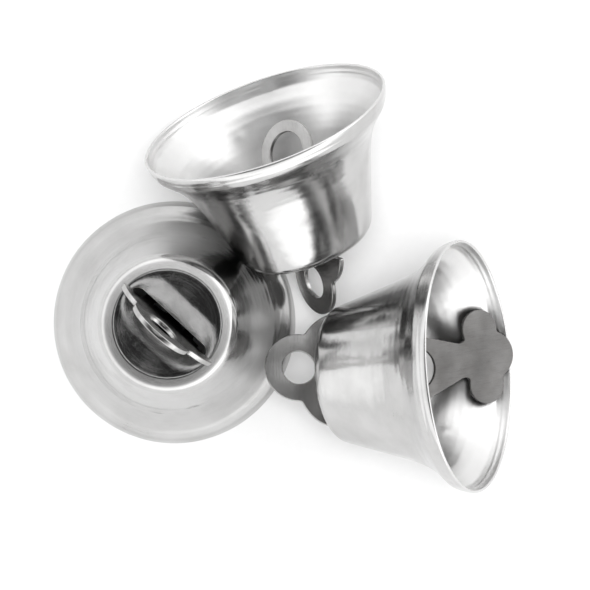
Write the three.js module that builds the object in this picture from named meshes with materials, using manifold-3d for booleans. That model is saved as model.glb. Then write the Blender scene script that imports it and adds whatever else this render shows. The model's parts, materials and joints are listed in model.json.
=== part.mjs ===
// Three loose pressed-steel liberty bells: one standing on its mouth, two lying on their sides.
// Each bell is a spun shell, a flat hanger that rocks in the crown slot, and a flat clapper on its hook.
// Millimetres, +Z up, the surface the bells stand on is Z = 0.

import * as THREE from 'three';
import { mergeVertices } from 'three/addons/utils/BufferGeometryUtils.js';
import Module from 'manifold-3d';

const wasm = await Module();
wasm.setup();

// ---------------------------------------------------------------- driving dimensions
const SHEET = 0.5;               // thickness of the shell's sheet
const MOUTH_RADIUS = 20;         // outside radius of the mouth
const BELL_HEIGHT = 23;          // mouth plane to crown face
const WAIST_RADIUS = 14;         // outside radius where the straight wall meets the flare
const WAIST_HEIGHT = 11.5;
const WALL_TAPER = 0.297;        // radius lost for each mm of height, on the straight wall
const SHOULDER_RADIUS = 2.4;     // rounding between wall and crown
const FLARE_WAIST_HANDLE = 9.3;  // how far the flare keeps the wall's direction
const FLARE_RIM_HANDLE = 4.4;    // how far it keeps the rim's direction
const RIM_LEAN = 0.1;            // radius lost for each mm of height, at the rim

const SLOT_LENGTH = 15.2;        // crown slot
const SLOT_WIDTH = 2.8;

const CLEARANCE = 0.3;           // gap kept between pieces that rest on each other

const HANGER_PLATE = 0.8;
const EYE_HEIGHT = 5.6;          // eye centre above the hanger's foot
const EYE_RADIUS = 5.5;
const EYE_HOLE_RADIUS = 2.7;
const EYE_NECK_DROP = 0.7;       // the shoulders leave the eye this far below its centre
const SHOULDER_HALF_WIDTH = 9.3;
const SHOULDER_BULGE = { inset: 0.5, height: 3.1 };
const TAB_HALF_WIDTH = 5.9;      // what passes through the slot
const TAB_DEPTH = 2.2;
const TAB_FILLET = 3;            // length over which the tab narrows to the tongue
const TONGUE_HALF_WIDTH = 1.3;
const HOOK_CENTRE_DEPTH = 12.6;  // centre of the hook's bend below the foot
const HOOK_INNER_RADIUS = 1.6;
const HOOK_TIP_LENGTH = 1.2;
const HOOK_LAP = 1;              // how much of the tongue the bent strip shares

const CLAPPER_PLATE = 0.7;
const RING_RADIUS = 5.4;
const RING_HOLE_RADIUS = 3.5;
const CROTCH_DISTANCE = 8.6;     // hole centre to where the neck meets the lobes
const NECK_HALF_WIDTH = 2.75;    // at the crotch
const NECK_START = 73.5;         // degrees round the ring from the neck's middle line
const SIDE_LOBE = { along: 12.4, across: 4.6, radius: 3.15 };
const TIP_LOBE = { along: 14.0, across: 0, radius: 3.95 };

const LATHE_STEPS = 48;
const ARC_STEPS = 8;
const SHOULDER_STEPS = 4;
const CUTTER_DEPTH = 4;          // thickness of the solids that cut slots and holes

const SHELL_STEEL = { color: 0xd6d6d4, roughness: 0.18, metalness: 1 };
const HANGER_STEEL = { color: 0xc4c4c2, roughness: 0.28, metalness: 1 };
const CLAPPER_STEEL = { color: 0xb4b4b2, roughness: 0.32, metalness: 1 };

const deg = THREE.MathUtils.degToRad;
const STANDING = 'standing';
const LYING = 'lying';

// Where each bell is, which way its crown-to-mouth axis points seen from above, and how its
// loose pieces lie. A hanger is turned about the bell's axis, leans across its slot and sits
// a little along it. A clapper is placed by the centre of its hole.
const BELLS = [
  {
    name: 'standing_bell', pose: STANDING, mouth: [-19.9, -4.5], heading: 0,
    hanger: { turn: 137.6, lean: -9, shift: 0 },
    clapper: { at: [-21.3, -4.6, 8.2], heading: 41.5, pitch: 23, roll: 3 },
  },
  {
    name: 'upper_bell', pose: LYING, mouth: [-4.9, 27.6], heading: 110.2,
    hanger: { turn: -25.6, lean: -11.9, shift: 0 },
    clapper: { at: [-1.2, 22.55, 13.98], heading: -80, pitch: -11, roll: 40.6 },
  },
  {
    name: 'right_bell', pose: LYING, mouth: [27.6, -11.2], heading: 4.5,
    hanger: { turn: 106, lean: 32.5, shift: 0.8 },
    clapper: { at: [19.4, -12.05, 8.15], heading: 9.9, pitch: 22.4, roll: 4 },
  },
];

// ---------------------------------------------------------------- solids and meshes
function toSolid(geometry) {
  const bare = geometry.clone();
  bare.deleteAttribute('normal');
  bare.deleteAttribute('uv');
  const merged = mergeVertices(bare, 1e-4);
  const index = merged.index.array;
  const triangles = [];
  for (let i = 0; i < index.length; i += 3) {
    const [a, b, c] = [index[i], index[i + 1], index[i + 2]];
    if (a !== b && b !== c && c !== a) triangles.push(a, b, c);
  }
  return new wasm.Manifold(new wasm.Mesh({
    numProp: 3,
    vertProperties: new Float32Array(merged.attributes.position.array),
    triVerts: new Uint32Array(triangles),
  }));
}

function toGeometry(solid) {
  const mesh = solid.getMesh();
  const geometry = new THREE.BufferGeometry();
  geometry.setAttribute('position', new THREE.BufferAttribute(mesh.vertProperties, 3));
  geometry.setIndex(new THREE.BufferAttribute(mesh.triVerts, 1));
  geometry.computeVertexNormals();
  return geometry;
}

// A flat plate of the given outline, its thickness centred on Z = 0.
function plate(shape, thickness) {
  const settings = { depth: thickness, bevelEnabled: false, curveSegments: ARC_STEPS };
  return new THREE.ExtrudeGeometry(shape, settings).translate(0, 0, -thickness / 2);
}

function disc(x, y, radius) {
  return new THREE.Shape().absarc(x, y, radius, 0, 2 * Math.PI, false);
}

// ---------------------------------------------------------------- shell
// Outside and inside of the sheet from rim to crown, as matching lists of (radius, height).
function shellWalls() {
  const outside = [];
  const inside = [];
  const add = (point, tangent) => {
    const normal = new THREE.Vector2(-tangent.y, tangent.x).normalize();
    outside.push(point);
    inside.push(point.clone().addScaledVector(normal, SHEET));
  };

  const flare = new THREE.CubicBezierCurve(
    new THREE.Vector2(MOUTH_RADIUS, 0),
    new THREE.Vector2(MOUTH_RADIUS - RIM_LEAN * FLARE_RIM_HANDLE, FLARE_RIM_HANDLE),
    new THREE.Vector2(
      WAIST_RADIUS + WALL_TAPER * FLARE_WAIST_HANDLE,
      WAIST_HEIGHT - FLARE_WAIST_HANDLE,
    ),
    new THREE.Vector2(WAIST_RADIUS, WAIST_HEIGHT),
  );
  for (let i = 0; i <= ARC_STEPS; i++) {
    add(flare.getPoint(i / ARC_STEPS), flare.getTangent(i / ARC_STEPS));
  }

  const start = Math.atan(WALL_TAPER);
  const centreHeight = BELL_HEIGHT - SHOULDER_RADIUS;
  const centreRadius = shoulderCentreRadius();
  for (let i = 0; i <= SHOULDER_STEPS; i++) {
    const angle = THREE.MathUtils.lerp(start, Math.PI / 2, i / SHOULDER_STEPS);
    const around = new THREE.Vector2(Math.cos(angle), Math.sin(angle));
    const point = new THREE.Vector2(centreRadius, centreHeight);
    point.addScaledVector(around, SHOULDER_RADIUS);
    add(point, new THREE.Vector2(-around.y, around.x));
  }
  inside[0].set(inside[0].x, 0);
  return { outside, inside };
}

// Radius of the flat crown, where the shoulder's rounding is centred.
function shoulderCentreRadius() {
  const start = Math.atan(WALL_TAPER);
  const height = BELL_HEIGHT - SHOULDER_RADIUS + SHOULDER_RADIUS * Math.sin(start);
  return WAIST_RADIUS - WALL_TAPER * (height - WAIST_HEIGHT) - SHOULDER_RADIUS * Math.cos(start);
}

function shellGeometry() {
  const { outside, inside } = shellWalls();
  const profile = [
    new THREE.Vector2(0, BELL_HEIGHT - SHEET),
    ...inside.reverse(),
    ...outside,
    new THREE.Vector2(0, BELL_HEIGHT),
  ];
  const body = new THREE.LatheGeometry(profile, LATHE_STEPS).rotateX(Math.PI / 2);

  const half = SLOT_LENGTH / 2 - SLOT_WIDTH / 2;
  const outline = new THREE.Shape();
  outline.absarc(half, 0, SLOT_WIDTH / 2, -Math.PI / 2, Math.PI / 2, false);
  outline.absarc(-half, 0, SLOT_WIDTH / 2, Math.PI / 2, 1.5 * Math.PI, false);
  const slot = plate(outline, CUTTER_DEPTH).translate(0, 0, BELL_HEIGHT);
  return { body, slot };
}

function shell(turn) {
  const { body, slot } = shellGeometry();
  slot.rotateZ(turn);
  return toGeometry(toSolid(body).subtract(toSolid(slot)));
}

// ---------------------------------------------------------------- hanger
// The plate stands in the XZ plane with its foot at Z = 0; the hook bends towards +Y.
function hanger() {
  const neck = -Math.asin(EYE_NECK_DROP / EYE_RADIUS);
  const kink = new THREE.Vector2(EYE_RADIUS * Math.cos(neck), EYE_HEIGHT - EYE_NECK_DROP);
  const bulge = new THREE.Vector2(SHOULDER_HALF_WIDTH - SHOULDER_BULGE.inset, SHOULDER_BULGE.height);

  const outline = new THREE.Shape();
  outline.absarc(0, EYE_HEIGHT, EYE_RADIUS, neck, Math.PI - neck, false);
  outline.quadraticCurveTo(-bulge.x, bulge.y, -SHOULDER_HALF_WIDTH, 0);
  outline.lineTo(-TAB_HALF_WIDTH, 0);
  outline.lineTo(-TAB_HALF_WIDTH, -TAB_DEPTH);
  const narrow = -TAB_DEPTH - TAB_FILLET;
  outline.quadraticCurveTo(-TONGUE_HALF_WIDTH, -TAB_DEPTH, -TONGUE_HALF_WIDTH, narrow);
  outline.lineTo(-TONGUE_HALF_WIDTH, -HOOK_CENTRE_DEPTH);
  outline.lineTo(TONGUE_HALF_WIDTH, -HOOK_CENTRE_DEPTH);
  outline.lineTo(TONGUE_HALF_WIDTH, narrow);
  outline.quadraticCurveTo(TONGUE_HALF_WIDTH, -TAB_DEPTH, TAB_HALF_WIDTH, -TAB_DEPTH);
  outline.lineTo(TAB_HALF_WIDTH, 0);
  outline.lineTo(SHOULDER_HALF_WIDTH, 0);
  outline.quadraticCurveTo(bulge.x, bulge.y, kink.x, kink.y);
  outline.holes.push(disc(0, EYE_HEIGHT, EYE_HOLE_RADIUS));
  const flat = plate(outline, HANGER_PLATE).rotateX(Math.PI / 2);

  return toGeometry(toSolid(flat).add(toSolid(hook())));
}

// The bent end of the tongue: a strip drawn edge-on and given the tongue's width.
function hook() {
  const outer = HOOK_INNER_RADIUS + HANGER_PLATE;
  const middle = HOOK_INNER_RADIUS + HANGER_PLATE / 2;
  const bottom = -HOOK_CENTRE_DEPTH;
  const strip = new THREE.Shape();
  strip.moveTo(middle - outer, bottom + HOOK_LAP);
  strip.lineTo(middle - outer, bottom);
  strip.absarc(middle, bottom, outer, Math.PI, 2 * Math.PI, false);
  strip.lineTo(middle + outer, bottom + HOOK_TIP_LENGTH);
  strip.lineTo(middle + HOOK_INNER_RADIUS, bottom + HOOK_TIP_LENGTH);
  strip.lineTo(middle + HOOK_INNER_RADIUS, bottom);
  strip.absarc(middle, bottom, HOOK_INNER_RADIUS, 0, -Math.PI, true);
  strip.lineTo(middle - HOOK_INNER_RADIUS, bottom + HOOK_LAP);
  return plate(strip, 2 * TONGUE_HALF_WIDTH).rotateX(Math.PI / 2).rotateZ(Math.PI / 2);
}

// ---------------------------------------------------------------- clapper
// The plate lies in the XY plane: the hole is centred on the origin and the tip is towards +X.
function clapper() {
  const neck = new THREE.Shape();
  const start = new THREE.Vector2(RING_RADIUS, 0).rotateAround(new THREE.Vector2(), deg(NECK_START));
  neck.moveTo(start.x, -start.y);
  neck.lineTo(CROTCH_DISTANCE, -NECK_HALF_WIDTH);
  neck.lineTo(SIDE_LOBE.along, -SIDE_LOBE.across);
  neck.lineTo(SIDE_LOBE.along, SIDE_LOBE.across);
  neck.lineTo(CROTCH_DISTANCE, NECK_HALF_WIDTH);
  neck.lineTo(start.x, start.y);

  const outlines = [
    disc(0, 0, RING_RADIUS),
    neck,
    disc(SIDE_LOBE.along, SIDE_LOBE.across, SIDE_LOBE.radius),
    disc(SIDE_LOBE.along, -SIDE_LOBE.across, SIDE_LOBE.radius),
    disc(TIP_LOBE.along, TIP_LOBE.across, TIP_LOBE.radius),
  ];
  const solid = outlines
    .map((outline) => toSolid(plate(outline, CLAPPER_PLATE)))
    .reduce((sum, next) => sum.add(next));
  const hole = toSolid(plate(disc(0, 0, RING_HOLE_RADIUS), CUTTER_DEPTH));
  return toGeometry(solid.subtract(hole));
}

// ---------------------------------------------------------------- assembly
// A lying bell rests on its flare and on its shoulder: how far its mouth tips up.
function lyingTilt() {
  const height = BELL_HEIGHT - SHOULDER_RADIUS;
  const tilts = shellWalls().outside.slice(0, ARC_STEPS + 1).map((point) => {
    const across = point.x - shoulderCentreRadius();
    const along = height - point.y;
    return Math.acos(SHOULDER_RADIUS / Math.hypot(across, along)) - Math.atan2(along, across);
  });
  return Math.max(...tilts);
}

// Height of a lying bell's mouth centre above the surface.
function lyingHeight(tilt) {
  const rise = (BELL_HEIGHT - SHOULDER_RADIUS) * Math.sin(tilt);
  return shoulderCentreRadius() * Math.cos(tilt) + rise + SHOULDER_RADIUS;
}

function piece(name, geometry, steel) {
  const mesh = new THREE.Mesh(geometry, new THREE.MeshStandardMaterial(steel));
  mesh.name = name;
  return mesh;
}

function bell({ name, pose, mouth, heading, hanger: set, clapper: rest }) {
  const body = new THREE.Group();
  body.rotation.order = 'ZYX';
  body.rotation.z = deg(heading);
  body.position.set(mouth[0], mouth[1], 0);
  if (pose === LYING) {
    const tilt = lyingTilt();
    body.rotation.y = -(Math.PI / 2 + tilt);
    body.position.z = lyingHeight(tilt);
  }
  body.add(piece(`${name}_shell`, shell(deg(set.turn)), SHELL_STEEL));

  // The leaning foot's lower edge keeps its clearance from the crown.
  const seat = new THREE.Group();
  const lean = deg(set.lean);
  seat.position.z = BELL_HEIGHT + CLEARANCE + (HANGER_PLATE / 2) * Math.abs(Math.sin(lean));
  seat.rotation.z = deg(set.turn);
  const loose = piece(`${name}_hanger`, hanger(), HANGER_STEEL);
  loose.rotation.x = lean;
  loose.position.x = set.shift;
  seat.add(loose);
  body.add(seat);

  const striker = piece(`${name}_clapper`, clapper(), CLAPPER_STEEL);
  striker.rotation.order = 'ZYX';
  striker.rotation.set(deg(rest.roll), deg(rest.pitch), deg(rest.heading));
  striker.position.set(...rest.at);

  const group = new THREE.Group();
  group.add(body, striker);
  return group;
}

const bells = new THREE.Group();
for (const entry of BELLS) bells.add(bell(entry));

// The origin is under the middle of the whole set, on the surface it stands on.
bells.updateMatrixWorld(true);
const middle = new THREE.Box3().setFromObject(bells, true).getCenter(new THREE.Vector3());
bells.position.set(-middle.x, -middle.y, 0);

export default bells;
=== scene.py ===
"""Three loose pressed-steel bells with flat hangers and trefoil clappers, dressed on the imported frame."""

import json
import math
import random

import bmesh
import bpy
import numpy as np
from mathutils import Matrix, Vector, noise


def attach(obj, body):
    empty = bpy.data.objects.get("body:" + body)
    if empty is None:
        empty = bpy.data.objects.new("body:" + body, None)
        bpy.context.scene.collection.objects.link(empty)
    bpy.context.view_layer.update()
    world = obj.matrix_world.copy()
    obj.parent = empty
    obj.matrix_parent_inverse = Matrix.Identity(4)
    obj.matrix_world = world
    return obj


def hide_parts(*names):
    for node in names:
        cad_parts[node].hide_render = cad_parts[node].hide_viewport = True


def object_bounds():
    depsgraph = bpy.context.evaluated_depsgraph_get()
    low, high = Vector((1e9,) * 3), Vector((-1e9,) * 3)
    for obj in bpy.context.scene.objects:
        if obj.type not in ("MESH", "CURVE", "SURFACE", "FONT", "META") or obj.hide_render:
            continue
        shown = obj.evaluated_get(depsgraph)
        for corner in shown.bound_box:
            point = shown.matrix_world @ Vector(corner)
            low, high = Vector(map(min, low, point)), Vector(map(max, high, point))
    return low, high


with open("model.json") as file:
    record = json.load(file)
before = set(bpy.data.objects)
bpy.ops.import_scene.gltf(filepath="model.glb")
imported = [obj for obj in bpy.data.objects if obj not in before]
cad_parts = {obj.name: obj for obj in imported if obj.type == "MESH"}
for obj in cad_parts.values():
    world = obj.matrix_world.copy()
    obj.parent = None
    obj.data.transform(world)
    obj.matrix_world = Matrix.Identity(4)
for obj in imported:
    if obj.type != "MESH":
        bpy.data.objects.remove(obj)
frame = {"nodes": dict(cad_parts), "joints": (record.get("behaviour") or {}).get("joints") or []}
CAD_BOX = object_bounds()
JOINTS = {j["name"]: j for j in frame["joints"]}
BELLS = ("standing", "upper", "right")

MM = 0.001

# ---------------------------------------------------------------- sizes, in millimetres
SHEET = 0.5
MOUTH_RADIUS = 20
BELL_HEIGHT = 23
WAIST_RADIUS = 14
WAIST_HEIGHT = 11.5
WALL_TAPER = 0.297
SHOULDER_RADIUS = 2.4
FLARE_WAIST_HANDLE = 9.3
FLARE_RIM_HANDLE = 4.4
RIM_LEAN = 0.1
RIM_START = 0.019         # share of the flare given up to the rim's rounded lip
SLOT_LENGTH = 15.2
SLOT_WIDTH = 2.8
SLOT_EDGE = 0.12          # rounding of the slot's punched edge
WAVE_SCALE = 0.09         # waves to a millimetre that pressing and handling leave in the sheet
WAVES = ((1, 0.05), (4, 0.007))   # how many times finer, depth
WAVE_RISE = 0.4           # share of the waves that moves the sheet along the bell's axis
LEVEL_RIM = 1             # below this height no wave moves the sheet along the axis
WAVE_SHIFT = 50           # from one bell to the next, so that no two are alike
DRAW_RING_DEPTH = 0.014
FINE_RINGS = ((2.6, 0, 0.4), (5.3, 1, 0.3))         # radians to a millimetre, phase, share of depth
RING_BANDS = ((2.4, 0.35, 2.6), (5.6, 0.4, -2.2))   # height above the rim, half width, share
LIP_GROOVE = (1.25, 0.28, 0.05)                     # height above the rim, half width, depth
CROWN_RADIUS = 8.5        # the flat of the crown, inside its sloping border
BORDER_SLOPE = 22         # degrees
FOLD_DEPTH = 0.54         # how far punching the slot has drawn the crown down beside it
FOLD_WIDTH = 4.9
FOLD_POWER = 1.15         # above 1 the drawn-down sheet is hollow across the slot
FOLD_RAMP = 2.6           # over this distance from its border the crown is not drawn down fully

HANGER_PLATE = 0.8
EYE_HEIGHT = 5.6
EYE_RADIUS = 5.5
EYE_HOLE_RADIUS = 2.7
EYE_NECK_DROP = 0.7
SHOULDER_HALF_WIDTH = 9.3
SHOULDER_BULGE = (8.8, 3.1)       # the handle of the curve from the eye to the shoulder's end
TAB_HALF_WIDTH = 5.9
TAB_DEPTH = 2.2
TAB_FILLET = 3
HANGER_CORNER = 0.35      # length over which the outline's corners are eased
TONGUE_HALF_WIDTH = 1.3
HOOK_CENTRE_DEPTH = 12.6
HOOK_INNER_RADIUS = 1.6
HOOK_TIP_LENGTH = 1.2
HOOK_LAP = 1              # length of tongue that the bent strip laps
HOOK_COVER = 0.01         # the bent strip stands this proud of the tongue it laps

CLAPPER_PLATE = 0.7
RING_RADIUS = 5.4
RING_HOLE_RADIUS = 3.5
CROTCH_DISTANCE = 8.6
NECK_HALF_WIDTH = 2.75
NECK_START = 73.5         # degrees round the ring from the head
SIDE_LOBE = (12.4, 4.6, 3.15)     # centre along and across the plate, radius
TIP_LOBE = (14.0, 0, 3.95)
CLAPPER_CORNER = 0.4

PUNCHED_EDGE = 0.13       # rounding of the plates' edges
PUNCHED_SEGMENTS = 3
STEP = 0.25               # spacing of the points on an outline
STRAIGHT = 0.00001        # points that bend an outline less, in square millimetres, are left out
WELD = 0.001              # points of a plate nearer than this are made one
FLAT_NORMAL = 0.99        # a plate's faces are shaded flat where their normal is this upright
SHARP_ANGLE = 35          # degrees between the hook's faces

DING_COUNT = 6            # small dings on each bell, drawn at random within these ranges
DING_HEIGHT = (1.2, 11)   # above the rim
DING_REACH = (0.4, 0.9)
DING_DEPTH = (0.05, 0.11)

COLUMNS = 320             # round a shell
RIM_STEPS = 8
EDGE_STEPS = 4            # in a quarter turn of a rounded edge
HOOK_STEPS = 36
SHOULDER_STEPS = 16
BORDER_STEPS = 6
FLARE_STEPS = 72
CROWN_STEPS = 24

CROWN_GRAIN_HEIGHT = (BELL_HEIGHT - 0.4) * MM

# ---------------------------------------------------------------- stage, in metres
CAMERA_LENS = 145.1
CAMERA_HEIGHT = 0.393
CAMERA_OFFSET = (0.002008, -0.003308)     # from the middle of the CAD box
FLOOR_SIZE = 6
FLOOR_SEGMENTS = 8
OVERHEAD_HEIGHT = 1.2
OVERHEAD_SIZE = 0.7
OVERHEAD_POWER = 5.5
# brightness of the tent by height, from 0 at the horizon to 1 straight along its axis
TENT = (
    (0, 0.62), (0.08, 0.74), (0.22, 1.0), (0.42, 1.0), (0.56, 0.76),
    (0.68, 0.48), (0.82, 0.15), (0.93, 0.02), (1, 0.02),
)
# brightness of the ring round the dark port straight above
PORT = ((0, 0.0), (0.92, 0.0), (0.945, 0.46), (0.981, 0.46), (0.99, 0.0), (1, 0.0))
TENT_STRENGTH = 1.7
TENT_AXIS = (-0.05, -0.11, 1)
BRIGHT_SIDE = (0.22, 0, 0)      # the tent is brighter this way, by this share


# ---------------------------------------------------------------- where each piece lies
def faces_of(node):
    """Centres, unit normals and areas of a CAD node's faces."""
    mesh = frame["nodes"][node].data
    centres = np.array([p.center for p in mesh.polygons])
    normals = np.array([p.normal for p in mesh.polygons])
    areas = np.array([p.area for p in mesh.polygons])
    return centres, normals, areas


def spread(node):
    """Area centroid of a CAD node and its principal directions, shortest spread first."""
    centres, _, areas = faces_of(node)
    middle = (centres * areas[:, None]).sum(0) / areas.sum()
    away = centres - middle
    _, directions = np.linalg.eigh((away * areas[:, None]).T @ away)
    return Vector(middle), [Vector(d) for d in directions.T]


def plate_normal(node):
    """The direction that most of a flat plate's area faces."""
    _, normals, areas = faces_of(node)
    keys, index = np.unique(normals.round(3), axis=0, return_inverse=True)
    total = np.bincount(index.ravel(), areas)
    return Vector(keys[total.argmax()]).normalized()


def placed(origin, x, z):
    """The matrix of a piece at origin whose own X and Z point along x and z."""
    x = x.normalized()
    y = z.cross(x).normalized()
    z = x.cross(y)
    return Matrix.Translation(origin) @ Matrix((x, y, z)).transposed().to_4x4()


def shell_place(bell):
    """Mouth centre, with +Z towards the crown and +X along the slot."""
    node = f"{bell}_bell_shell"
    joint = JOINTS[f"{bell}_hanger_rock"]
    middle, directions = spread(node)
    axis = directions[0]
    if axis.dot(Vector(joint["pos_m"]) - middle) < 0:
        axis = -axis
    corners = [(v.co - middle).dot(axis) for v in frame["nodes"][node].data.vertices]
    slot = Vector(joint["axis"])
    slot -= axis * slot.dot(axis)
    return placed(middle + axis * min(corners), slot, axis)


def hanger_place(bell):
    """Centre of the foot, with +X along the slot and +Z towards the eye."""
    node = f"{bell}_bell_hanger"
    joint = JOINTS[f"{bell}_hanger_rock"]
    x = Vector(joint["axis"])
    z = x.cross(plate_normal(node))
    inside = spread(f"{bell}_bell_shell")[0] - Vector(joint["pos_m"])
    if z.dot(inside) > 0:
        z = -z
    return placed(Vector(joint["pos_m"]), x, z)


def clapper_place(bell):
    """Centre of the ring's hole, with +X towards the head and +Z out of the plate."""
    node = f"{bell}_bell_clapper"
    middle, directions = spread(node)
    x, z = directions[2], plate_normal(node)
    vertices = [v.co - middle for v in frame["nodes"][node].data.vertices]
    widest = max(vertices, key=lambda v: abs(v.dot(z.cross(x))))
    if widest.dot(x) < 0:
        x = -x
    tail = min(v.dot(x) for v in vertices)
    return placed(middle + x * (tail + RING_RADIUS * MM), x, z)


# ---------------------------------------------------------------- mesh helpers
def add_piece(name, mesh, bell, kind, material, matrix):
    """A finished piece moved to matrix, riding on its body in place of its CAD node.

    Its points keep their places before the move in the attribute own, which the materials follow.
    """
    body = {"shell": f"{bell}_bell", "hanger": f"{bell}_hanger", "clapper": f"{bell}_clapper"}
    own = mesh.attributes.new("own", "FLOAT_VECTOR", "POINT")
    own.data.foreach_set("vector", [c for v in mesh.vertices for c in v.co])
    mesh.transform(matrix)
    piece = bpy.data.objects.new(name, mesh)
    bpy.context.scene.collection.objects.link(piece)
    mesh.materials.append(material)
    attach(piece, body[kind])
    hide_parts(f"{bell}_bell_{kind}")


def grid_mesh(name, rows, inner):
    """A closed surface from rows of points, wrapping both ways, with each row a ring.

    The attribute inner is 1 on rows that lie inside the shell and 0 on rows outside it.
    """
    count, around = len(rows), len(rows[0])
    vertices = [tuple(c * MM for c in point) for row in rows for point in row]
    faces = []
    for i in range(count):
        below, above = i * around, (i + 1) % count * around
        for k in range(around):
            after = (k + 1) % around
            faces.append((below + k, below + after, above + after, above + k))
    mesh = bpy.data.meshes.new(name)
    mesh.from_pydata(vertices, [], faces)
    mesh.validate()
    tidy = bmesh.new()
    tidy.from_mesh(mesh)
    bmesh.ops.recalc_face_normals(tidy, faces=tidy.faces)
    tidy.to_mesh(mesh)
    tidy.free()
    mesh.attributes.new("inner", "FLOAT", "POINT").data.foreach_set("value", np.repeat(inner, around))
    mesh.shade_smooth()
    return mesh


def arc(x, y, radius, start, end):
    """Points on an arc from one angle to another, in degrees, both ends included."""
    steps = max(2, math.ceil(abs(math.radians(end - start)) * radius / STEP))
    angles = [math.radians(start + (end - start) * i / steps) for i in range(steps + 1)]
    return [(x + radius * math.cos(a), y + radius * math.sin(a)) for a in angles]


def curve(start, handle, end):
    """Points on a quadratic curve, both ends included."""
    steps = max(2, math.ceil(math.dist(start, end) / STEP))
    points = []
    for i in range(steps + 1):
        t = i / steps
        weights = ((1 - t) ** 2, 2 * t * (1 - t), t ** 2)
        shares = list(zip(weights, (start, handle, end)))
        points.append(tuple(sum(w * p[k] for w, p in shares) for k in (0, 1)))
    return points


def softened(points, radius):
    """A closed outline with its corners eased over about the given length.

    Points on straight stretches are left out, because a filled curve would leave them unjoined.
    """
    closed = points + points[:1]
    even = []
    for a, b in zip(closed, closed[1:]):
        steps = max(1, round(math.dist(a, b) / STEP))
        even += [tuple(a[k] + (b[k] - a[k]) * i / steps for k in (0, 1)) for i in range(steps)]
    ring = np.array(even)
    for _ in range(max(1, round((radius / STEP) ** 2))):
        ring = (np.roll(ring, 1, 0) + 2 * ring + np.roll(ring, -1, 0)) / 4
    before, after = ring - np.roll(ring, 1, 0), np.roll(ring, -1, 0) - ring
    bend = np.abs(before[:, 0] * after[:, 1] - before[:, 1] * after[:, 0])
    return [tuple(p) for p in ring[bend > STRAIGHT]]


def plate_mesh(name, outlines, thickness):
    """A flat plate in XY with rounded punched edges; the first outline is outside, the rest are holes."""
    data = bpy.data.curves.new(name, "CURVE")
    data.dimensions = "2D"
    data.fill_mode = "BOTH"
    data.extrude = (thickness / 2 - PUNCHED_EDGE) * MM
    data.bevel_depth = PUNCHED_EDGE * MM
    data.bevel_resolution = PUNCHED_SEGMENTS
    data.offset = -PUNCHED_EDGE * MM
    for outline in outlines:
        spline = data.splines.new("POLY")
        spline.points.add(len(outline) - 1)
        for point, (x, y) in zip(spline.points, outline):
            point.co = (x * MM, y * MM, 0, 1)
        spline.use_cyclic_u = True
    holder = bpy.data.objects.new(name, data)
    mesh = bpy.data.meshes.new_from_object(holder)
    bpy.data.objects.remove(holder)
    bpy.data.curves.remove(data)
    weld = bmesh.new()
    weld.from_mesh(mesh)
    bmesh.ops.remove_doubles(weld, verts=weld.verts, dist=WELD * MM)
    bmesh.ops.recalc_face_normals(weld, faces=weld.faces)
    weld.to_mesh(mesh)
    weld.free()
    for face in mesh.polygons:
        face.use_smooth = abs(face.normal.z) < FLAT_NORMAL
    return mesh


# ---------------------------------------------------------------- shell
def shoulder_centre_radius():
    """Distance from the axis at which the shoulder's arc has its centre, so that it meets the wall."""
    start = math.atan(WALL_TAPER)
    height = BELL_HEIGHT - SHOULDER_RADIUS + SHOULDER_RADIUS * math.sin(start)
    wall = WAIST_RADIUS - WALL_TAPER * (height - WAIST_HEIGHT)
    return wall - SHOULDER_RADIUS * math.cos(start)


def shell_profile():
    """Outside of the sheet from the rim to the flat crown, as (radius, height)."""
    handles = np.array([
        (MOUTH_RADIUS, 0),
        (MOUTH_RADIUS - RIM_LEAN * FLARE_RIM_HANDLE, FLARE_RIM_HANDLE),
        (WAIST_RADIUS + WALL_TAPER * FLARE_WAIST_HANDLE, WAIST_HEIGHT - FLARE_WAIST_HANDLE),
        (WAIST_RADIUS, WAIST_HEIGHT),
    ])
    points = []
    for t in np.linspace(RIM_START, 1, FLARE_STEPS + 1):
        weights = np.array([(1 - t) ** 3, 3 * t * (1 - t) ** 2, 3 * t ** 2 * (1 - t), t ** 3])
        points.append(weights @ handles)
    start = math.atan(WALL_TAPER)
    slope = math.radians(BORDER_SLOPE)
    away = shoulder_centre_radius()
    drop = SHOULDER_RADIUS / math.cos(slope) + (away - CROWN_RADIUS) * math.tan(slope)
    middle = np.array([away, BELL_HEIGHT - drop])
    top_of_wall = middle + SHOULDER_RADIUS * np.array([math.cos(start), math.sin(start)])
    for t in np.linspace(0, 1, SHOULDER_STEPS)[1:-1]:
        points.append(points[FLARE_STEPS] * (1 - t) + top_of_wall * t)
    for angle in np.linspace(start, math.radians(90 - BORDER_SLOPE), SHOULDER_STEPS):
        points.append(middle + SHOULDER_RADIUS * np.array([math.cos(angle), math.sin(angle)]))
    top, foot = np.array([CROWN_RADIUS, BELL_HEIGHT]), points[-1]
    for t in np.linspace(0, 1, BORDER_STEPS + 1)[1:]:
        points.append(foot * (1 - t) + top * t)
    return np.array(points)


def normals_along(points):
    """Unit normals of a profile, to the side of the bell's axis."""
    along = np.gradient(points, axis=0)
    along /= np.linalg.norm(along, axis=1)[:, None]
    return np.stack([-along[:, 1], along[:, 0]], 1)


def draw_rings(heights):
    """How far faint rings from spinning, and the lip's groove, move the sheet out at the given heights."""
    rings = sum(share * np.sin(heights * turns + phase) for turns, phase, share in FINE_RINGS)
    for height, width, share in RING_BANDS:
        rings = rings + share * np.exp(-((heights - height) / width) ** 2)
    height, width, depth = LIP_GROOVE
    return DRAW_RING_DEPTH * rings - depth * np.exp(-((heights - height) / width) ** 2)


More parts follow.
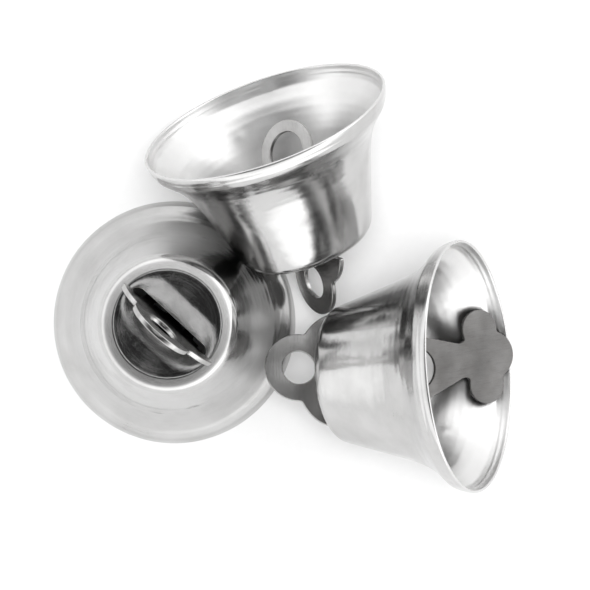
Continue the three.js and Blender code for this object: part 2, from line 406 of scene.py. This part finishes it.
def fold(x, y):
    """How far the crown is drawn down at a point, most beside the slot and nothing at its border."""
    across = max(0, 1 - abs(y) / FOLD_WIDTH)
    inside = min(1, max(0, (CROWN_RADIUS - math.hypot(x, y)) / FOLD_RAMP))
    return FOLD_DEPTH * across ** FOLD_POWER * inside * inside * (3 - 2 * inside)


def slot_edge(angle):
    """Distance from the slot's centre to its edge in a direction."""
    half = (SLOT_LENGTH - SLOT_WIDTH) / 2
    width = SLOT_WIDTH / 2
    c, s = abs(math.cos(angle)), abs(math.sin(angle))
    if s * half > c * width:
        return width / s
    return half * c + math.sqrt(width ** 2 - (half * s) ** 2)


def shell_rows(bell):
    """Rings of points over the whole skin of a shell, and for each ring whether it lies inside.

    They run from the crown's circle down the wall, round the rim, up inside and in under the crown,
    then through the slot's edge and out over the crown.
    """
    outside = shell_profile()
    inward = normals_along(outside)
    outside = outside - inward * draw_rings(outside[:, 1])[:, None]
    inside = outside + inward * SHEET
    rim_turn = []
    for angle in np.linspace(0, math.pi, RIM_STEPS + 1)[1:-1]:
        middle = (outside[0] + inside[0]) / 2
        across = (outside[0] - inside[0]) / 2
        along = np.array([across[1], -across[0]])
        rim_turn.append(middle + across * math.cos(angle) + along * math.sin(angle))
    section = list(outside[::-1]) + rim_turn + list(inside)
    angles = [2 * math.pi * k / COLUMNS for k in range(COLUMNS)]
    rows = [[(r * math.cos(a), r * math.sin(a), h) for a in angles] for r, h in section]
    edges = [slot_edge(a) for a in angles]

    def crown_ring(share, setback, height, radius):
        """Between the slot's edge, moved out by setback, and the crown's circle."""
        ring = []
        for a, edge in zip(angles, edges):
            r = (edge + setback) * (1 - share) + radius * share
            x, y = r * math.cos(a), r * math.sin(a)
            ring.append((x, y, height - fold(x, y)))
        return ring

    top, under = BELL_HEIGHT, BELL_HEIGHT - SHEET
    shares = [1 - k / CROWN_STEPS for k in range(1, CROWN_STEPS + 1)]
    over = [crown_ring(t, SLOT_EDGE, top, outside[-1][0]) for t in shares]
    below = [crown_ring(t, SLOT_EDGE, under, inside[-1][0]) for t in shares]
    turn = []
    for k in range(1, EDGE_STEPS + 1):
        angle = math.radians(90 * k / EDGE_STEPS)
        turn.append((SLOT_EDGE * (1 - math.sin(angle)), SLOT_EDGE * (1 - math.cos(angle))))
    punch_under = [crown_ring(0, back, under + drop, 0) for back, drop in turn]
    punch_top = [crown_ring(0, back, top - drop, 0) for back, drop in reversed(turn)]
    inner = [0] * len(outside) + [0.5] * len(rim_turn)
    inner += [1] * (len(inside) + len(below) + len(punch_under))
    inner += [0] * (len(punch_top) + len(over))
    return handled(rows + below + punch_under + punch_top + over[::-1], bell), inner


def draw_dings(bell):
    """Turn round the bell, height, reach and depth of each of its dings."""
    draw = random.Random(BELLS.index(bell))
    dings = []
    for _ in range(DING_COUNT):
        ranges = ((-math.pi, math.pi), DING_HEIGHT, DING_REACH, DING_DEPTH)
        dings.append([draw.uniform(low, high) for low, high in ranges])
    return dings


def dented(x, y, z, dings):
    """The share by which the dings draw a point of a shell towards the axis."""
    radius, turn = math.hypot(x, y), math.atan2(y, x)
    push = 0
    for ding_turn, height, reach, depth in dings:
        round_by = math.remainder(turn - ding_turn, 2 * math.pi) * radius
        push += depth * math.exp(-(round_by ** 2 + (z - height) ** 2) / reach ** 2)
    return push / radius


def handled(rows, bell):
    """Eases the sheet off true by slow noise and small dings that are the same on both its faces.

    Blender's noise is not seeded here, so the waves differ a little from run to run.
    """
    shift = BELLS.index(bell) * WAVE_SHIFT
    dings = draw_dings(bell)
    result = []
    for row in rows:
        moved = []
        for x, y, z in row:
            at = Vector((x, y, z + shift)) * WAVE_SCALE
            push = Vector()
            for finer, depth in WAVES:
                push += noise.noise_vector(at * finer) * depth
            keep = 1 - dented(x, y, z, dings)
            rise = push.z * WAVE_RISE if z > LEVEL_RIM else 0
            moved.append((x * keep + push.x, y * keep + push.y, z + rise))
        result.append(moved)
    return result


# ---------------------------------------------------------------- hanger
def hanger_outline():
    """Eye, shoulders, tab and tongue, down to where the hook's bend starts."""
    neck = math.degrees(math.asin(EYE_NECK_DROP / EYE_RADIUS))
    kink = (EYE_RADIUS * math.cos(math.radians(neck)), EYE_HEIGHT - EYE_NECK_DROP)
    narrow = -TAB_DEPTH - TAB_FILLET
    right = curve(kink, SHOULDER_BULGE, (SHOULDER_HALF_WIDTH, 0))
    right += [(TAB_HALF_WIDTH, 0), (TAB_HALF_WIDTH, -TAB_DEPTH)]
    right += curve(right[-1], (TONGUE_HALF_WIDTH, -TAB_DEPTH), (TONGUE_HALF_WIDTH, narrow))[1:]
    right += [(TONGUE_HALF_WIDTH, -HOOK_CENTRE_DEPTH)]
    left = [(-x, y) for x, y in reversed(right)]
    top = arc(0, EYE_HEIGHT, EYE_RADIUS, 180 + neck, -neck)
    return softened(top[:-1] + right + left[:-1], HANGER_CORNER)


def strip_section():
    """Cross-section of the tongue as (across, through), with rounded punched edges."""
    x = TONGUE_HALF_WIDTH - PUNCHED_EDGE + HOOK_COVER
    y = HANGER_PLATE / 2 - PUNCHED_EDGE + HOOK_COVER
    section = []
    for cx, cy, start in ((x, y, 0), (-x, y, 90), (-x, -y, 180), (x, -y, 270)):
        for i in range(EDGE_STEPS + 1):
            a = math.radians(start + 90 * i / EDGE_STEPS)
            section.append((cx + PUNCHED_EDGE * math.cos(a), cy + PUNCHED_EDGE * math.sin(a)))
    return section


def hook_mesh(name):
    """The tongue's bent end, swept along its bend in the plane across the slot."""
    radius = HOOK_INNER_RADIUS + HANGER_PLATE / 2
    path = [((0, -HOOK_CENTRE_DEPTH + HOOK_LAP), (1, 0))]
    for i in range(HOOK_STEPS + 1):
        a = math.radians(180 + 180 * i / HOOK_STEPS)
        point = (radius + radius * math.cos(a), -HOOK_CENTRE_DEPTH + radius * math.sin(a))
        path.append((point, (-math.cos(a), -math.sin(a))))
    path.append(((2 * radius, -HOOK_CENTRE_DEPTH + HOOK_TIP_LENGTH), (-1, 0)))
    rows = []
    for (y, z), (ny, nz) in path:
        rows.append([(x, y + ny * through, z + nz * through) for x, through in strip_section()])
    mesh = bmesh.new()
    rings = [[mesh.verts.new([c * MM for c in p]) for p in row] for row in rows]
    for a, b in zip(rings, rings[1:]):
        for k in range(len(a)):
            after = (k + 1) % len(a)
            mesh.faces.new((a[k], a[after], b[after], b[k]))
    mesh.faces.new(rings[0])
    tip = mesh.faces.new(rings[-1])
    bmesh.ops.recalc_face_normals(mesh, faces=mesh.faces)
    rounding = {"offset": PUNCHED_EDGE * MM, "segments": PUNCHED_SEGMENTS, "profile": 0.5}
    bmesh.ops.bevel(mesh, geom=list(tip.edges), affect="EDGES", **rounding)
    data = bpy.data.meshes.new(name)
    mesh.to_mesh(data)
    mesh.free()
    data.shade_smooth()
    data.set_sharp_from_angle(angle=math.radians(SHARP_ANGLE))
    return data


def hanger_mesh(name):
    """The flat plate stood on edge in XZ, with its hook made one with it."""
    hole = arc(0, EYE_HEIGHT, EYE_HOLE_RADIUS, 0, 360)[:-1]
    flat = plate_mesh(name, [hanger_outline(), hole], HANGER_PLATE)
    flat.transform(Matrix.Rotation(math.pi / 2, 4, "X"))
    plate = bpy.data.objects.new(name, flat)
    hook = bpy.data.objects.new(name + "_hook", hook_mesh(name + "_hook"))
    for made in (plate, hook):
        bpy.context.scene.collection.objects.link(made)
    join = plate.modifiers.new("join", "BOOLEAN")
    join.operation, join.solver, join.object = "UNION", "EXACT", hook
    joined = plate.evaluated_get(bpy.context.evaluated_depsgraph_get())
    whole = bpy.data.meshes.new_from_object(joined)
    for made in (plate, hook):
        mesh = made.data
        bpy.data.objects.remove(made)
        bpy.data.meshes.remove(mesh)
    return whole


# ---------------------------------------------------------------- clapper
def clapper_outline():
    """Ring, tapering neck and three lobes."""
    side = np.array(SIDE_LOBE[:2])
    crotch = np.array((CROTCH_DISTANCE, NECK_HALF_WIDTH))
    enter = math.degrees(math.atan2(*(crotch - side)[::-1]))
    between = np.array(TIP_LOBE[:2]) - side
    gap = np.linalg.norm(between)
    reach = (gap ** 2 + SIDE_LOBE[2] ** 2 - TIP_LOBE[2] ** 2) / (2 * gap)
    leave = math.degrees(math.atan2(between[1], between[0]) + math.acos(reach / SIDE_LOBE[2]))
    upper = [(CROTCH_DISTANCE, NECK_HALF_WIDTH)]
    upper += arc(*SIDE_LOBE, enter % 360, leave)
    tip_start = math.degrees(math.atan2(upper[-1][1], upper[-1][0] - TIP_LOBE[0]))
    tip = arc(*TIP_LOBE, tip_start, -tip_start)[1:-1]
    lower = [(x, -y) for x, y in reversed(upper)]
    ring = arc(0, 0, RING_RADIUS, 360 - NECK_START, NECK_START)
    return softened(ring + upper + tip + lower, CLAPPER_CORNER)


# ---------------------------------------------------------------- materials
class Graph:
    """Builds a node tree with short calls."""

    def __init__(self, name):
        self.material = bpy.data.materials.new(name)
        self.material.use_nodes = True
        self.tree = self.material.node_tree
        self.shader = self.tree.nodes["Principled BSDF"]

    def node(self, kind, inputs=(), **settings):
        made = self.tree.nodes.new(kind)
        for key, value in settings.items():
            setattr(made, key, value)
        for key, value in dict(inputs).items():
            if isinstance(value, bpy.types.NodeSocket):
                self.tree.links.new(value, made.inputs[key])
            else:
                made.inputs[key].default_value = value
        return made

    def own(self):
        """Each point's place on its own piece, in metres, however the piece lies."""
        return self.node("ShaderNodeAttribute", attribute_name="own").outputs["Vector"]

    def math(self, operation, a, b=0.0):
        return self.node("ShaderNodeMath", {0: a, 1: b}, operation=operation).outputs[0]

    def noise(self, vector, scale, detail=3.0, roughness=0.5):
        inputs = {"Vector": vector, "Scale": scale, "Detail": detail, "Roughness": roughness}
        return self.node("ShaderNodeTexNoise", inputs).outputs["Fac"]

    def span(self, value, low, high, to_low=0.0, to_high=1.0):
        """A value's place between low and high, held within them, as one between to_low and to_high."""
        inputs = {0: value, 1: low, 2: high, 3: to_low, 4: to_high}
        return self.node("ShaderNodeMapRange", inputs).outputs[0]

    def stretched(self, vector, scale):
        return self.node("ShaderNodeMapping", {"Vector": vector, "Scale": scale}).outputs[0]

    def mixed(self, factor, a, b):
        made = self.node("ShaderNodeMix", data_type="RGBA")
        for key, value in (("Factor", factor), ("A", a), ("B", b)):
            sockets = [s for s in made.inputs if s.name == key and s.enabled]
            if isinstance(value, bpy.types.NodeSocket):
                self.tree.links.new(value, sockets[0])
            else:
                sockets[0].default_value = value
        return [s for s in made.outputs if s.enabled][0]

    def bump(self, height, strength, distance, normal=None):
        inputs = {"Height": height, "Strength": strength, "Distance": distance}
        if normal is not None:
            inputs["Normal"] = normal
        return self.node("ShaderNodeBump", inputs).outputs[0]

    def finish(self, **values):
        for key, value in values.items():
            socket = self.shader.inputs[key.replace("_", " ")]
            if isinstance(value, bpy.types.NodeSocket):
                self.tree.links.new(value, socket)
            else:
                socket.default_value = value
        return self.material


def grey(value, warmth=0.0):
    """A grey, with warmth added to its red and taken from its blue."""
    return (value + warmth, value, value - warmth, 1)


def shell_steel():
    """Bright plated sheet, duller inside and with painted light paling the inside's colour: spinning rings,
    orange peel, scratches, a grainy crown.
    """
    g = Graph("shell_steel")
    at = g.own()
    inner = g.node("ShaderNodeAttribute", attribute_name="inner").outputs["Fac"]
    parts = g.node("ShaderNodeSeparateXYZ", {0: at}).outputs
    radius = g.math("SQRT", g.math("ADD", g.math("POWER", parts[0], 2.0), g.math("POWER", parts[1], 2.0)))
    ring_place = g.node("ShaderNodeCombineXYZ", {"X": radius, "Z": parts[2]}).outputs[0]
    rings = g.noise(ring_place, scale=2600, detail=4, roughness=0.6)
    peel = g.noise(at, scale=900)
    blotch = g.noise(at, scale=150, detail=5, roughness=0.6)
    grain = g.noise(at, scale=5200, detail=2, roughness=0.7)
    scratch = g.noise(g.stretched(at, (300, 4200, 900)), scale=1, detail=4, roughness=0.7)
    pits = g.span(g.noise(at, scale=1100, detail=8, roughness=0.75), 0.68, 0.76)
    high = g.math("GREATER_THAN", parts[2], CROWN_GRAIN_HEIGHT)
    crown = g.math("MULTIPLY", high, g.math("SUBTRACT", 1.0, inner))

    dull = g.span(blotch, 0.5, 0.72)
    rough = g.math("ADD", g.span(rings, 0.3, 0.7, 0.13, 0.2), g.math("MULTIPLY", dull, 0.1))
    rough = g.math("ADD", rough, g.span(grain, 0.55, 0.75, to_high=0.06))
    rough = g.math("ADD", rough, g.math("MULTIPLY", inner, 0.17))
    rough = g.math("SUBTRACT", rough, g.math("MULTIPLY", crown, 0.06))
    colour = g.mixed(g.span(blotch, 0.35, 0.75), grey(0.55, 0.002), grey(0.46, 0.003))
    # painted light: the inside of the shell is given a paler base colour, which stands in for the light in
    # the bells' hollows
    colour = g.mixed(g.math("MULTIPLY", inner, 0.6), colour, grey(0.82, 0.002))
    grain_strength = g.math("ADD", 0.08, g.math("MULTIPLY", crown, 0.34))
    normal = g.bump(peel, strength=0.22, distance=0.00006)
    normal = g.bump(rings, strength=0.12, distance=0.00002, normal=normal)
    normal = g.bump(scratch, strength=0.06, distance=0.00002, normal=normal)
    normal = g.bump(grain, strength=grain_strength, distance=0.00002, normal=normal)
    normal = g.bump(g.math("SUBTRACT", 1.0, pits), strength=0.5, distance=0.00004, normal=normal)
    return g.finish(Base_Color=colour, Metallic=1.0, Roughness=rough, Normal=normal)


def plate_steel(name, light, dark, roughness, brush):
    """Punched plated sheet, not quite flat: brush lines, grain, stains and a few pits.

    The lines are noise stretched by the scales in brush, so they run where those are low.
    """
    g = Graph(name)
    at = g.own()
    lines = g.noise(g.stretched(at, brush), scale=1, detail=6, roughness=0.7)
    stains = g.noise(at, scale=320, detail=5, roughness=0.6)
    grain = g.noise(at, scale=4200, roughness=0.7)
    pits = g.span(g.noise(at, scale=1300, detail=8, roughness=0.75), 0.66, 0.74)
    warp = g.noise(at, scale=110, detail=1)
    rough = g.math("ADD", g.span(lines, 0.3, 0.7, *roughness), g.span(stains, 0.45, 0.7, to_high=0.08))
    colour = g.mixed(g.span(stains, 0.35, 0.7), grey(light, 0.003), grey(dark, 0.004))
    colour = g.mixed(g.span(lines, 0.52, 0.72, to_high=0.35), colour, grey(dark * 0.6))
    normal = g.bump(warp, strength=1, distance=0.0007)
    normal = g.bump(lines, strength=0.5, distance=0.00005, normal=normal)
    normal = g.bump(grain, strength=0.2, distance=0.00002, normal=normal)
    normal = g.bump(g.math("SUBTRACT", 1.0, pits), strength=0.4, distance=0.00004, normal=normal)
    return g.finish(Base_Color=colour, Metallic=1.0, Roughness=rough, Normal=normal)


# ---------------------------------------------------------------- stage
def add_camera():
    """Straight above the group, looking down."""
    low, high = CAD_BOX
    camera = bpy.data.objects.new("camera", bpy.data.cameras.new("camera"))
    bpy.context.scene.collection.objects.link(camera)
    camera.data.lens = CAMERA_LENS
    x = (low.x + high.x) / 2 + CAMERA_OFFSET[0]
    y = (low.y + high.y) / 2 + CAMERA_OFFSET[1]
    camera.location = (x, y, CAMERA_HEIGHT)
    bpy.context.scene.camera = camera


def add_floor():
    """A pale sheet of card, far larger than the view."""
    made = bmesh.new()
    segments = {"x_segments": FLOOR_SEGMENTS, "y_segments": FLOOR_SEGMENTS}
    bmesh.ops.create_grid(made, size=FLOOR_SIZE / 2, **segments)
    mesh = bpy.data.meshes.new("floor")
    made.to_mesh(mesh)
    made.free()
    floor = bpy.data.objects.new("floor", mesh)
    bpy.context.scene.collection.objects.link(floor)
    g = Graph("pale_card")
    fibre = g.noise(g.node("ShaderNodeTexCoord").outputs["Object"], scale=900, detail=4)
    colour = g.mixed(fibre, grey(0.90), grey(0.93))
    mesh.materials.append(g.finish(Base_Color=colour, Roughness=0.9))


def add_overhead_light():
    """A broad soft light high over the group that whitens the floor without showing in the metal."""
    data = bpy.data.lights.new("overhead", "AREA")
    data.shape = "DISK"
    data.size = OVERHEAD_SIZE
    data.energy = OVERHEAD_POWER
    light = bpy.data.objects.new("overhead", data)
    light.location.z = OVERHEAD_HEIGHT
    light.visible_glossy = False
    bpy.context.scene.collection.objects.link(light)


def ramp(tree, value, stops):
    """A colour ramp of greys through the given (position, value) stops."""
    made = tree.nodes.new("ShaderNodeValToRGB")
    tree.links.new(value, made.inputs[0])
    elements = made.color_ramp.elements
    for element, (position, level) in zip(elements, (stops[0], stops[-1])):
        element.position, element.color = position, grey(level)
    for position, level in stops[1:-1]:
        elements.new(position).color = grey(level)
    return made.outputs[0]


def share_along(tree, direction, axis):
    """How far a direction points along axis, times the length of axis."""
    made = tree.nodes.new("ShaderNodeVectorMath")
    made.operation = "DOT_PRODUCT"
    tree.links.new(direction, made.inputs[0])
    made.inputs[1].default_value = axis
    return made.outputs["Value"]


def add_world():
    """A light tent, brighter on one side, with a dark leaning top and a pale ring straight above."""
    world = bpy.data.worlds.new("tent")
    bpy.context.scene.world = world
    world.use_nodes = True
    tree = world.node_tree
    link = tree.links.new
    direction = tree.nodes.new("ShaderNodeTexCoord").outputs["Generated"]
    total = tree.nodes.new("ShaderNodeVectorMath")
    total.operation = "ADD"
    tent_height = share_along(tree, direction, Vector(TENT_AXIS).normalized())
    link(ramp(tree, tent_height, TENT), total.inputs[0])
    link(ramp(tree, share_along(tree, direction, (0, 0, 1)), PORT), total.inputs[1])
    strength = tree.nodes.new("ShaderNodeMath")
    strength.operation = "MULTIPLY_ADD"
    link(share_along(tree, direction, BRIGHT_SIDE), strength.inputs[0])
    strength.inputs[1].default_value = TENT_STRENGTH
    strength.inputs[2].default_value = TENT_STRENGTH
    background = tree.nodes["Background"]
    link(total.outputs[0], background.inputs["Color"])
    link(strength.outputs[0], background.inputs["Strength"])


add_camera()
add_floor()
add_overhead_light()
add_world()
bpy.context.scene.view_settings.view_transform = "Standard"
bpy.context.scene.view_settings.look = "Medium High Contrast"

SHELL = shell_steel()
HANGER = plate_steel("hanger_steel", 0.5, 0.4, roughness=(0.1, 0.2), brush=(260, 260, 5200))
# One clapper steel in two tones: the darker is painted shade for the clappers lying in the bells' shade,
# the paler is the lit copy for the upper bell's clapper
SHADED_CLAPPER = plate_steel("clapper_steel", 0.2, 0.17, roughness=(0.36, 0.44), brush=(420, 4200, 420))
LIT_CLAPPER = plate_steel(
    "clapper_lit_steel", 0.44, 0.38, roughness=(0.28, 0.36), brush=(420, 4200, 420)
)

for bell in BELLS:
    shell = grid_mesh(f"{bell}_shell", *shell_rows(bell))
    add_piece(f"{bell}_shell", shell, bell, "shell", SHELL, shell_place(bell))
    add_piece(f"{bell}_hanger", hanger_mesh(f"{bell}_hanger"), bell, "hanger", HANGER, hanger_place(bell))
    hole = arc(0, 0, RING_HOLE_RADIUS, 0, 360)[:-1]
    clapper = plate_mesh(f"{bell}_clapper", [clapper_outline(), hole], CLAPPER_PLATE)
    # painted light: the upper bell's clapper takes the paler, lit copy and the others the darker,
    # painted-shade copy
    clapper_light = LIT_CLAPPER if bell == "upper" else SHADED_CLAPPER
    add_piece(f"{bell}_clapper", clapper, bell, "clapper", clapper_light, clapper_place(bell))

bpy.context.view_layer.update()
